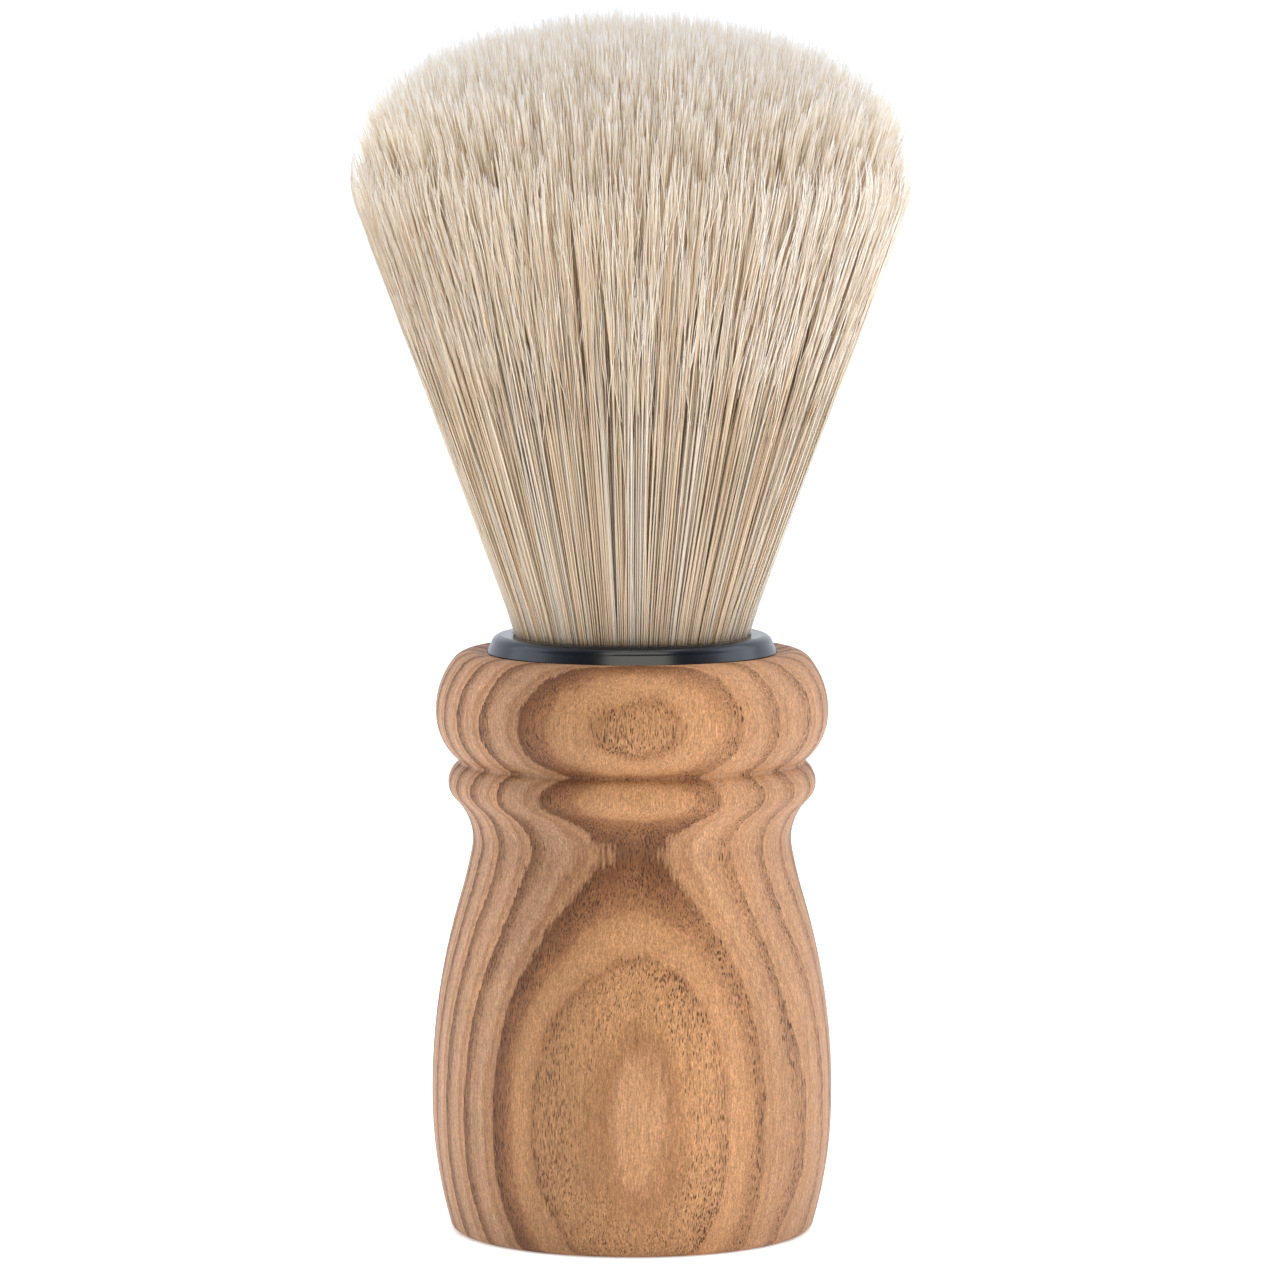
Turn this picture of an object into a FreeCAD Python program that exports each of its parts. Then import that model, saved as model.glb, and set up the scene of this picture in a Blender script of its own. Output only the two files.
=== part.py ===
import FreeCAD, Part
import Sketcher
import math
import os

# Shaving brush, modelled standing on its foot.
# +Z is up along the turning axis, the origin is the middle of the foot, and
# all lengths are millimetres.

os.makedirs("parts", exist_ok=True)
doc = FreeCAD.newDocument("ShavingBrush")
V = FreeCAD.Vector

# ---------------------------------------------------------------------------
# Driving dimensions
# ---------------------------------------------------------------------------
DIMS = [
    # turned handle: outside profile from the foot to the crown
    ("foot_flat_rad", 15.287, "flat of the foot"),
    ("foot_corner_arc", 0.9045, "rounded corner of the foot"),
    ("foot_top_rad", 16.155, "top of the foot corner"),
    ("foot_top_hgt", 0.651, ""),
    ("belly_low_arc", 40.70, "belly below its widest line"),
    ("belly_mid_rad", 17.779, "where the two belly arcs meet"),
    ("belly_mid_hgt", 11.193, ""),
    ("belly_high_arc", 60.545, "belly above its widest line"),
    ("belly_top_rad", 15.295, ""),
    ("belly_top_hgt", 29.701, ""),
    ("waist_low_arc", 45.41, "hollow that runs into the waist"),
    ("waist_rad", 14.231, "narrowest line of the waist"),
    ("waist_hgt", 34.074, ""),
    ("waist_high_arc", 4.9375, "cove under the small bead"),
    ("bead_foot_rad", 15.696, "lower end of the small bead"),
    ("bead_foot_hgt", 38.597, ""),
    ("bead_low_arc", 1.9858, ""),
    ("bead_mid_rad", 16.311, ""),
    ("bead_mid_hgt", 40.236, ""),
    ("bead_high_arc", 2.2493, ""),
    ("groove_rad", 15.2545, "bottom of the groove"),
    ("groove_hgt", 41.931, ""),
    ("groove_fillet", 0.22, "softened bottom of the groove"),
    ("rim_low_arc", 5.4226, "large bead, lower part"),
    ("rim_mid_rad", 17.3854, ""),
    ("rim_mid_hgt", 45.777, ""),
    ("rim_mid_arc", 7.3048, "large bead, shoulder"),
    ("rim_high_rad", 15.8995, ""),
    ("rim_high_hgt", 50.876, ""),
    ("rim_top_arc", 2.1659, "large bead, crown"),
    ("crown_rad", 14.1865, "highest line of the wood"),
    ("crown_hgt", 51.7217, ""),
    ("seat_rad", 13.05, "flat seat for the collar's flange"),
    ("seat_hgt", 51.50, ""),
    ("bore_rad", 11.45, "blind bore for the cup"),
    ("bore_floor_hgt", 34.70, ""),
    ("bore_chamfer", 0.30, "broken edge at the bore's mouth"),
    # collar: moulded cup with a flange
    ("cup_rad", 11.20, "outside of the cup"),
    ("cup_base_rad", 10.40, "flat under the cup"),
    ("cup_base_hgt", 35.00, ""),
    ("cup_corner_arc", 0.80, ""),
    ("cup_corner_hgt", 35.80, ""),
    ("cup_inner_rad", 10.45, "inside of the cup"),
    ("cup_floor_hgt", 36.00, ""),
    ("flange_edge_rad", 12.85, "lower outer edge of the flange"),
    ("flange_edge_hgt", 51.62, "top of the flange's thin edge"),
    ("flange_side_rad", 12.50, "top of the sloped side"),
    ("flange_side_hgt", 52.38, ""),
    ("flange_round_arc", 0.95, "rounded top edge"),
    ("flange_top_rad", 11.72, "outer end of the flat top"),
    ("flange_top_hgt", 53.15, ""),
    ("mouth_arc", 0.30, "rounded mouth"),
    ("mouth_rad", 10.75, ""),
    ("mouth_hgt", 52.85, ""),
    # bedding glue between the cup and the bore
    ("glue_top_hgt", 51.10, ""),
    # casting resin round the root ends
    ("resin_floor_hgt", 39.00, "thickness under the bristles"),
    ("resin_top_hgt", 43.30, ""),
    # bristle roots inside the cup
    ("root_rad", 9.65, "bundle where it is bound"),
    ("root_bound_hgt", 46.80, "end of the bound length"),
    ("root_full_rad", 10.38, "bundle where it fills the cup"),
    ("root_full_hgt", 48.60, ""),
    ("root_top_hgt", 53.15, ""),
    # binding twine
    ("twine_ring_rad", 10.00, "centre line of one turn"),
    ("twine_thick_rad", 0.34, "radius of the twine"),
    ("twine_first_hgt", 44.00, ""),
    ("twine_step", 0.70, "from one turn to the next"),
    # fan of bristles above the collar
    ("flex_base_rad", 10.58, ""),
    ("flex_base_hgt", 53.45, ""),
    ("flex_top_rad", 16.00, ""),
    ("flex_top_hgt", 68.00, ""),
    ("head_base_rad", 16.112, ""),
    ("head_base_hgt", 68.30, ""),
    ("head_side_rad", 24.445, "end of the straight side"),
    ("head_side_hgt", 90.68, ""),
    ("head_rim_arc", 7.445, "rounded widest line"),
    ("head_rim_rad", 24.842, ""),
    ("head_rim_hgt", 94.306, ""),
    ("head_shoulder_arc", 13.905, ""),
    ("head_shoulder_rad", 16.480, ""),
    ("head_shoulder_hgt", 105.196, ""),
    ("head_dome_hgt", 108.51, "top of the dome"),
]

sheet = doc.addObject("Spreadsheet::Sheet", "Dimensions")
sheet.Label = "Dimensions"
for row, (alias, value, note) in enumerate(DIMS, start=1):
    sheet.set("A%d" % row, alias)
    sheet.set("B%d" % row, repr(value))
    sheet.setAlias("B%d" % row, alias)
    if note:
        sheet.set("C%d" % row, note)
doc.recompute()


def dim(alias):
    return float(sheet.get(alias))


# ---------------------------------------------------------------------------
# Helper: one body turned about Z from a profile in the XZ plane
# ---------------------------------------------------------------------------
def origin_plane(body, role):
    for feature in body.Origin.OriginFeatures:
        if feature.Role == role:
            return feature
    raise RuntimeError("no origin plane " + role)


def arc_centre(start, end, radius, side):
    # centre of the minor arc from start to end; side +1 has it on the left
    mid = (start + end) * 0.5
    chord = end - start
    half = chord.Length * 0.5
    rise = math.sqrt(max(radius * radius - half * half, 0.0))
    normal = V(-chord.y, chord.x, 0).normalize()
    return mid + normal * (rise * side)


def turned_body(name, corners, edges):
    """corners: (radius alias or 0, height alias or 0), anticlockwise.
    edges: None for a line to the next corner, (radius alias, side) for an
    arc, or ("on_axis", 1) for a dome whose arc is centred on the axis."""
    body = doc.addObject("PartDesign::Body", name + "_body")
    body.Label = name
    sketch = body.newObject("Sketcher::SketchObject", name + "_profile")
    sketch.AttachmentSupport = [(origin_plane(body, "XZ_Plane"), "")]
    sketch.MapMode = "FlatFace"
    count = len(corners)
    points = []
    for rad, hgt in corners:
        points.append(V(dim(rad) if rad else 0.0, dim(hgt) if hgt else 0.0, 0))
    ends = []          # (geometry, point at corner i, point at corner i + 1)
    radii = []
    domes = []
    for i in range(count):
        start, end = points[i], points[(i + 1) % count]
        if edges[i] is None:
            geo = sketch.addGeometry(Part.LineSegment(start, end), False)
            ends.append((geo, 1, 2))
        else:
            alias, side = edges[i]
            if alias == "on_axis":
                rise = end.y - start.y
                radius = (start.x * start.x + rise * rise) / (2.0 * rise)
                centre = V(0, end.y - radius, 0)
            else:
                radius = dim(alias)
                centre = arc_centre(start, end, radius, side)
            first, last = (start, end) if side > 0 else (end, start)
            a0 = math.atan2(first.y - centre.y, first.x - centre.x)
            a1 = math.atan2(last.y - centre.y, last.x - centre.x)
            circle = Part.Circle(centre, V(0, 0, 1), radius)
            geo = sketch.addGeometry(Part.ArcOfCircle(circle, a0, a1), False)
            ends.append((geo, 1, 2) if side > 0 else (geo, 2, 1))
            if alias == "on_axis":
                domes.append(geo)
            else:
                radii.append((geo, alias, radius))
    for i in range(count):
        geo, _, tail = ends[i]
        nxt, head, _ = ends[(i + 1) % count]
        sketch.addConstraint(Sketcher.Constraint("Coincident", geo, tail, nxt, head))
    bound = []
    for i, (rad, hgt) in enumerate(corners):
        geo, pos, _ = ends[i]
        if rad:
            c = sketch.addConstraint(Sketcher.Constraint(
                "DistanceX", -1, 1, geo, pos, dim(rad)))
            bound.append((c, "corner%d_rad" % i, rad))
        else:
            sketch.addConstraint(Sketcher.Constraint("PointOnObject", geo, pos, -2))
        if hgt:
            c = sketch.addConstraint(Sketcher.Constraint(
                "DistanceY", -1, 1, geo, pos, dim(hgt)))
            bound.append((c, "corner%d_hgt" % i, hgt))
        else:
            sketch.addConstraint(Sketcher.Constraint("PointOnObject", geo, pos, -1))
    for geo in domes:
        sketch.addConstraint(Sketcher.Constraint("PointOnObject", geo, 3, -2))
    for geo, alias, radius in radii:
        c = sketch.addConstraint(Sketcher.Constraint("Radius", geo, radius))
        bound.append((c, "arc%d" % geo, alias))
    for index, label, alias in bound:
        sketch.renameConstraint(index, label)
    for index, label, alias in bound:
        sketch.setExpression("Constraints." + label, "Dimensions." + alias)
    turn = body.newObject("PartDesign::Revolution", name + "_turning")
    turn.Profile = sketch
    turn.ReferenceAxis = (sketch, ["V_Axis"])
    turn.Angle = 360.0
    sketch.Visibility = False
    body.Tip = turn
    doc.recompute()
    return body, turn


def circle_edges(shape, radius, height):
    found = []
    for number, edge in enumerate(shape.Edges, start=1):
        curve = edge.Curve
        if isinstance(curve, Part.Circle):
            if (abs(curve.Radius - radius) < 0.02
                    and abs(curve.Center.z - height) < 0.02):
                found.append("Edge%d" % number)
    if not found:
        raise RuntimeError("no round edge at %.2f, %.2f" % (radius, height))
    return found


# ---------------------------------------------------------------------------
# Handle: one piece of turned ash with a blind bore in its crown
# ---------------------------------------------------------------------------
handle, handle_turn = turned_body("handle", [
    (0, 0),
    ("foot_flat_rad", 0),
    ("foot_top_rad", "foot_top_hgt"),
    ("belly_mid_rad", "belly_mid_hgt"),
    ("belly_top_rad", "belly_top_hgt"),
    ("waist_rad", "waist_hgt"),
    ("bead_foot_rad", "bead_foot_hgt"),
    ("bead_mid_rad", "bead_mid_hgt"),
    ("groove_rad", "groove_hgt"),
    ("rim_mid_rad", "rim_mid_hgt"),
    ("rim_high_rad", "rim_high_hgt"),
    ("crown_rad", "crown_hgt"),
    ("seat_rad", "seat_hgt"),
    ("bore_rad", "seat_hgt"),
    ("bore_rad", "bore_floor_hgt"),
    (0, "bore_floor_hgt"),
], [
    None,
    ("foot_corner_arc", 1),
    ("belly_low_arc", 1),
    ("belly_high_arc", 1),
    ("waist_low_arc", -1),
    ("waist_high_arc", -1),
    ("bead_low_arc", 1),
    ("bead_high_arc", 1),
    ("rim_low_arc", 1),
    ("rim_mid_arc", 1),
    ("rim_top_arc", 1),
    None,
    None,
    None,
    None,
    None,
])

# softened bottom of the groove between the two beads
groove = handle.newObject("PartDesign::Fillet", "handle_groove_round")
groove.Base = (handle_turn, circle_edges(
    handle_turn.Shape, dim("groove_rad"), dim("groove_hgt")))
groove.setExpression("Radius", "Dimensions.groove_fillet")
handle_turn.Visibility = False
doc.recompute()

# broken edge at the mouth of the bore
mouth = handle.newObject("PartDesign::Chamfer", "handle_bore_chamfer")
mouth.Base = (groove, circle_edges(
    groove.Shape, dim("bore_rad"), dim("seat_hgt")))
mouth.setExpression("Size", "Dimensions.bore_chamfer")
doc.recompute()

# ---------------------------------------------------------------------------
# Collar: moulded cup whose sloped, round-edged flange lies on the crown
# ---------------------------------------------------------------------------
collar, _ = turned_body("collar", [
    (0, "cup_base_hgt"),
    ("cup_base_rad", "cup_base_hgt"),
    ("cup_rad", "cup_corner_hgt"),
    ("cup_rad", "seat_hgt"),
    ("flange_edge_rad", "seat_hgt"),
    ("flange_edge_rad", "flange_edge_hgt"),
    ("flange_side_rad", "flange_side_hgt"),
    ("flange_top_rad", "flange_top_hgt"),
    ("mouth_rad", "flange_top_hgt"),
    ("cup_inner_rad", "mouth_hgt"),
    ("cup_inner_rad", "cup_floor_hgt"),
    (0, "cup_floor_hgt"),
], [
    None,
    ("cup_corner_arc", 1),
    None,
    None,
    None,
    None,
    ("flange_round_arc", 1),
    None,
    ("mouth_arc", 1),
    None,
    None,
    None,
])

# ---------------------------------------------------------------------------
# Bedding glue: the thin film between the cup and the bore
# ---------------------------------------------------------------------------
bedding_glue, _ = turned_body("bedding_glue", [
    (0, "bore_floor_hgt"),
    ("bore_rad", "bore_floor_hgt"),
    ("bore_rad", "glue_top_hgt"),
    ("cup_rad", "glue_top_hgt"),
    ("cup_rad", "cup_corner_hgt"),
    ("cup_base_rad", "cup_base_hgt"),
    (0, "cup_base_hgt"),
], [
    None,
    None,
    None,
    None,
    ("cup_corner_arc", -1),
    None,
    None,
])

# ---------------------------------------------------------------------------
# Casting resin: a dish in the cup that holds the root ends
# ---------------------------------------------------------------------------
resin_plug, _ = turned_body("resin_plug", [
    (0, "cup_floor_hgt"),
    ("cup_inner_rad", "cup_floor_hgt"),
    ("cup_inner_rad", "resin_top_hgt"),
    ("root_rad", "resin_top_hgt"),
    ("root_rad", "resin_floor_hgt"),
    (0, "resin_floor_hgt"),
], [None] * 6)

# ---------------------------------------------------------------------------
# Binding twine: turns laid side by side round the root of the bundle
# ---------------------------------------------------------------------------
turns = []
for index in range(4):
    ring = doc.addObject("Part::Torus", "twine_turn_%d" % (index + 1))
    ring.Label = "twine_turn_%d" % (index + 1)
    ring.setExpression("Radius1", "Dimensions.twine_ring_rad")
    ring.setExpression("Radius2", "Dimensions.twine_thick_rad")
    ring.setExpression(
        "Placement.Base.z",
        "Dimensions.twine_first_hgt + %d * Dimensions.twine_step" % index)
    turns.append(ring)
binding_twine = doc.addObject("Part::Compound", "binding_twine_turns")
binding_twine.Label = "binding_twine"
binding_twine.Links = turns
doc.recompute()

# ---------------------------------------------------------------------------
# Bristles: the fixed roots, the length that flexes, and the fanned head
# ---------------------------------------------------------------------------
bristle_roots, _ = turned_body("bristle_roots", [
    (0, "resin_floor_hgt"),
    ("root_rad", "resin_floor_hgt"),
    ("root_rad", "root_bound_hgt"),
    ("root_full_rad", "root_full_hgt"),
    ("root_full_rad", "root_top_hgt"),
    (0, "root_top_hgt"),
], [None] * 6)

bristle_flex_zone, _ = turned_body("bristle_flex_zone", [
    (0, "flex_base_hgt"),
    ("flex_base_rad", "flex_base_hgt"),
    ("flex_top_rad", "flex_top_hgt"),
    (0, "flex_top_hgt"),
], [None] * 4)

bristle_head, _ = turned_body("bristle_head", [
    (0, "head_base_hgt"),
    ("head_base_rad", "head_base_hgt"),
    ("head_side_rad", "head_side_hgt"),
    ("head_rim_rad", "head_rim_hgt"),
    ("head_shoulder_rad", "head_shoulder_hgt"),
    (0, "head_dome_hgt"),
], [
    None,
    None,
    ("head_rim_arc", 1),
    ("head_shoulder_arc", 1),
    ("on_axis", 1),
    None,
])

doc.recompute()

# ---------------------------------------------------------------------------
# Check every object and write one file for each sub-part
# ---------------------------------------------------------------------------
SUB_PARTS = [handle, collar, bedding_glue, resin_plug, binding_twine,
             bristle_roots, bristle_flex_zone, bristle_head]
for obj in doc.Objects:
    bad = [state for state in obj.State if state in ("Invalid", "Error")]
    if bad:
        raise RuntimeError("%s is %s" % (obj.Label, ", ".join(bad)))
for obj in SUB_PARTS:
    if obj.Shape.isNull() or not obj.Shape.isValid() or not obj.Shape.Solids:
        raise RuntimeError("%s has no valid shape" % obj.Label)
for obj in SUB_PARTS:
    obj.Shape.exportStep(os.path.join("parts", obj.Label + ".step"))
    box = obj.Shape.BoundBox
    print("%-18s solids %d  volume %9.1f mm3  z %.2f to %.2f  radius %.2f" % (
        obj.Label, len(obj.Shape.Solids), obj.Shape.Volume,
        box.ZMin, box.ZMax, box.XMax))
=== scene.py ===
import math

import bpy
import numpy as np
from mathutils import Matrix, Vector


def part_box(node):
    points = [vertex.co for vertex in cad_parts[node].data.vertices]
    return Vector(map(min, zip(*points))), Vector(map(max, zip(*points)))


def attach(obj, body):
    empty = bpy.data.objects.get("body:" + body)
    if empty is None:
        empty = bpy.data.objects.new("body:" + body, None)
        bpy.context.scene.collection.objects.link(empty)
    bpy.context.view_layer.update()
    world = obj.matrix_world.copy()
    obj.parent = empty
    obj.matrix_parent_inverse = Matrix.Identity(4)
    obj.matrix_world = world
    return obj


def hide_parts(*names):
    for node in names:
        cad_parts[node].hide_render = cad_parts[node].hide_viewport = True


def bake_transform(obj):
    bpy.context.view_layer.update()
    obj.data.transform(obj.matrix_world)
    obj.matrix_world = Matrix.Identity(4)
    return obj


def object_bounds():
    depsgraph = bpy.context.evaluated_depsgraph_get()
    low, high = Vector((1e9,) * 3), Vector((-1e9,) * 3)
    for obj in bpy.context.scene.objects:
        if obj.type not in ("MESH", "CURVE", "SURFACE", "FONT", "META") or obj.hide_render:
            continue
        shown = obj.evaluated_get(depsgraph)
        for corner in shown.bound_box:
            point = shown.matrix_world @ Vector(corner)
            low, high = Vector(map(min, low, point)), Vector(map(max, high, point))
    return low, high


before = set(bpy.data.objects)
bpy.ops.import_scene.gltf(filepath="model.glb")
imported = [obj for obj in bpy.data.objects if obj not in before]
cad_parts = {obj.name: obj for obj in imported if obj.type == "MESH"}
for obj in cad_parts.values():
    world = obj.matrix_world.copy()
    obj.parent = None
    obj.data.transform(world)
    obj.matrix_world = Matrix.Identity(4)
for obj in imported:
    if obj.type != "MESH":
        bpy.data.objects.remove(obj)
CAD_LO, CAD_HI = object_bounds()
MM = 0.001
scene = bpy.context.scene
HEIGHT = CAD_HI.z - CAD_LO.z

# ---------------------------------------------------------------------------
# Camera: level with the middle of the brush, looking slightly down
# ---------------------------------------------------------------------------
cam_data = bpy.data.cameras.new("camera")
cam = bpy.data.objects.new("camera", cam_data)
scene.collection.objects.link(cam)
scene.camera = cam
cam_data.sensor_width = 36.0
cam_data.lens = 209.05
cam_data.clip_start = 0.01
cam_data.clip_end = 100.0
ELEVATION = math.radians(5.45)
AIM = Vector((0.0, 0.0, CAD_LO.z + 0.4912 * HEIGHT))
BACK = Vector((0.0, -math.cos(ELEVATION), math.sin(ELEVATION)))
cam.location = AIM + BACK * 0.6503
cam.rotation_euler = (-BACK).to_track_quat("-Z", "Y").to_euler()

scene.view_settings.view_transform = "Standard"
scene.view_settings.look = "None"
scene.view_settings.exposure = 0.0
scene.view_settings.gamma = 1.0

# ---------------------------------------------------------------------------
# Studio: pale floor, white surroundings that are darker in front, soft boxes
# ---------------------------------------------------------------------------
world = bpy.data.worlds.new("studio")
scene.world = world
world.use_nodes = True
wt = world.node_tree
ground = wt.nodes["Background"]
where = wt.nodes.new("ShaderNodeTexCoord")
parts = wt.nodes.new("ShaderNodeSeparateXYZ")
wt.links.new(where.outputs["Generated"], parts.inputs[0])
shade = wt.nodes.new("ShaderNodeMapRange")
shade.interpolation_type = "SMOOTHSTEP"
shade.clamp = True
wt.links.new(parts.outputs[1], shade.inputs["Value"])
shade.inputs["From Min"].default_value = -0.56
shade.inputs["From Max"].default_value = -0.02
shade.inputs["To Min"].default_value = 0.14
shade.inputs["To Max"].default_value = 1.12
wt.links.new(shade.outputs[0], ground.inputs["Strength"])
ground.inputs["Color"].default_value = (0.93, 0.98, 1.085, 1.0)


def softbox(name, place, size, watts, target, tint=(1.0, 1.0, 1.0)):
    data = bpy.data.lights.new(name, "AREA")
    data.shape = "RECTANGLE"
    data.size, data.size_y = size
    data.energy = watts
    data.color = tint
    lamp = bpy.data.objects.new(name, data)
    scene.collection.objects.link(lamp)
    lamp.location = place
    lamp.rotation_euler = (Vector(target) - Vector(place)).to_track_quat("-Z", "Y").to_euler()
    return lamp


KEY_COLOUR = (0.875, 0.955, 1.145)
FILL_COLOUR = (0.890, 0.985, 1.165)
softbox("key", (0.72, 0.16, 0.36), (0.50, 0.60), 1.6, AIM, KEY_COLOUR)
softbox("fill", (-0.74, 0.14, 0.34), (0.50, 0.60), 1.12, AIM, FILL_COLOUR)
softbox("top", (0.05, -0.12, 0.85), (0.60, 0.50), 3.3, AIM, (0.96, 0.99, 1.05))
softbox("front", (0.08, -0.86, 0.88), (1.00, 0.50), 6.3, AIM, (1.02, 0.985, 0.87))


# ---------------------------------------------------------------------------
# Node-tree helper
# ---------------------------------------------------------------------------
def srgb(r, g, b):
    out = []
    for c in (r, g, b):
        c = c / 255.0
        out.append(c / 12.92 if c <= 0.04045 else ((c + 0.055) / 1.055) ** 2.4)
    return (*out, 1.0)


class Tree:
    def __init__(self, name):
        self.mat = bpy.data.materials.new(name)
        self.mat.use_nodes = True
        self.nt = self.mat.node_tree
        self.nt.nodes.clear()
        self.out = self.nt.nodes.new("ShaderNodeOutputMaterial")
        self.bsdf = self.nt.nodes.new("ShaderNodeBsdfPrincipled")
        self.nt.links.new(self.bsdf.outputs[0], self.out.inputs["Surface"])

    def put(self, socket, value):
        if isinstance(value, bpy.types.NodeSocket):
            self.nt.links.new(value, socket)
        else:
            socket.default_value = value

    def coords(self):
        node = self.nt.nodes.new("ShaderNodeTexCoord")
        mm = self.nt.nodes.new("ShaderNodeVectorMath")
        mm.operation = "SCALE"
        self.nt.links.new(node.outputs["Object"], mm.inputs[0])
        mm.inputs["Scale"].default_value = 1000.0
        return mm.outputs[0]

    def split(self, vector):
        node = self.nt.nodes.new("ShaderNodeSeparateXYZ")
        self.put(node.inputs[0], vector)
        return node.outputs[0], node.outputs[1], node.outputs[2]

    def join(self, x, y, z):
        node = self.nt.nodes.new("ShaderNodeCombineXYZ")
        for socket, value in zip(node.inputs, (x, y, z)):
            self.put(socket, value)
        return node.outputs[0]

    def math(self, op, a, b=None, c=None, clamp=False):
        node = self.nt.nodes.new("ShaderNodeMath")
        node.operation = op
        node.use_clamp = clamp
        for socket, value in zip(node.inputs, (a, b, c)):
            if value is not None:
                self.put(socket, value)
        return node.outputs[0]

    def add(self, a, b): return self.math("ADD", a, b)
    def sub(self, a, b): return self.math("SUBTRACT", a, b)
    def mul(self, a, b): return self.math("MULTIPLY", a, b)

    def stretched(self, x, y, z, sx, sy, sz):
        return self.join(self.mul(x, sx), self.mul(y, sy), self.mul(z, sz))

    def noise(self, vector, scale=1.0, detail=2.0, roughness=0.5, distortion=0.0):
        node = self.nt.nodes.new("ShaderNodeTexNoise")
        self.put(node.inputs["Vector"], vector)
        node.inputs["Scale"].default_value = scale
        node.inputs["Detail"].default_value = detail
        node.inputs["Roughness"].default_value = roughness
        node.inputs["Distortion"].default_value = distortion
        return node.outputs[0]

    def noise1(self, w, scale=1.0, detail=1.0):
        node = self.nt.nodes.new("ShaderNodeTexNoise")
        node.noise_dimensions = "1D"
        self.put(node.inputs["W"], w)
        node.inputs["Scale"].default_value = scale
        node.inputs["Detail"].default_value = detail
        return node.outputs[0]

    def white1(self, w):
        node = self.nt.nodes.new("ShaderNodeTexWhiteNoise")
        node.noise_dimensions = "1D"
        self.put(node.inputs["W"], w)
        return node.outputs["Value"]

    def cells(self, vector, feature="F1", randomness=1.0):
        node = self.nt.nodes.new("ShaderNodeTexVoronoi")
        node.feature = feature
        self.put(node.inputs["Vector"], vector)
        node.inputs["Scale"].default_value = 1.0
        node.inputs["Randomness"].default_value = randomness
        return node.outputs["Distance"], node.outputs.get("Color")

    def around(self, value, middle, reach):
        """(value - middle) * 2 * reach, for noise centred on middle."""
        return self.mul(self.sub(value, middle), 2.0 * reach)

    def span(self, value, a, b, c=0.0, d=1.0, smooth=True):
        node = self.nt.nodes.new("ShaderNodeMapRange")
        node.interpolation_type = "SMOOTHSTEP" if smooth else "LINEAR"
        node.clamp = True
        for key, v in (("Value", value), ("From Min", a), ("From Max", b), ("To Min", c), ("To Max", d)):
            self.put(node.inputs[key], v)
        return node.outputs[0]

    def curve(self, value, points):
        node = self.nt.nodes.new("ShaderNodeFloatCurve")
        self.put(node.inputs["Value"], value)
        c = node.mapping.curves[0]
        c.points[0].location = points[0]
        c.points[1].location = points[-1]
        for p in points[1:-1]:
            c.points.new(*p)
        node.mapping.update()
        return node.outputs[0]

    def ramp(self, value, stops, how="LINEAR"):
        node = self.nt.nodes.new("ShaderNodeValToRGB")
        node.color_ramp.interpolation = how
        els = node.color_ramp.elements
        els[0].position, els[0].color = stops[0][0], stops[0][1]
        els[1].position, els[1].color = stops[-1][0], stops[-1][1]
        for pos, col in stops[1:-1]:
            e = els.new(pos)
            e.color = col
        self.put(node.inputs[0], value)
        return node.outputs[0]

    def ramp_with_share(self, value, stops):
        """stops of (position, colour, share): the ramp's colour, and its alpha as a share."""
        node = self.nt.nodes.new("ShaderNodeValToRGB")
        els = node.color_ramp.elements
        first, last = stops[0], stops[-1]
        els[0].position, els[0].color = first[0], (*first[1][:3], first[2])
        els[1].position, els[1].color = last[0], (*last[1][:3], last[2])
        for pos, col, share in stops[1:-1]:
            e = els.new(pos)
            e.color = (*col[:3], share)
        self.put(node.inputs[0], value)
        return node.outputs[0], node.outputs[1]

    def mix(self, fac, a, b, how="MIX"):
        node = self.nt.nodes.new("ShaderNodeMix")
        node.data_type = "RGBA"
        node.blend_type = how
        self.put(node.inputs[0], fac)
        self.put(node.inputs[6], a)
        self.put(node.inputs[7], b)
        return node.outputs[2]

    def scale_colour(self, colour, factor):
        node = self.nt.nodes.new("ShaderNodeVectorMath")
        node.operation = "SCALE"
        self.put(node.inputs[0], colour)
        self.put(node.inputs["Scale"], factor)
        return node.outputs[0]

    def bump(self, height, distance, strength=1.0):
        node = self.nt.nodes.new("ShaderNodeBump")
        self.put(node.inputs["Height"], height)
        node.inputs["Distance"].default_value = distance
        node.inputs["Strength"].default_value = strength
        self.nt.links.new(node.outputs[0], self.bsdf.inputs["Normal"])

    def attribute(self, name):
        node = self.nt.nodes.new("ShaderNodeAttribute")
        node.attribute_type = "GEOMETRY"
        node.attribute_name = name
        return node.outputs["Fac"]

    def set(self, **values):
        for key, value in values.items():
            self.put(self.bsdf.inputs[key.replace("_", " ")], value)


# ---------------------------------------------------------------------------
# Ash: flat-sawn rings crossed by the turned profile
# ---------------------------------------------------------------------------
WOOD_TINT = (0.760, 0.712, 0.645)
BELLY_R = 17.79                            # mm, the widest turned radius


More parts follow.
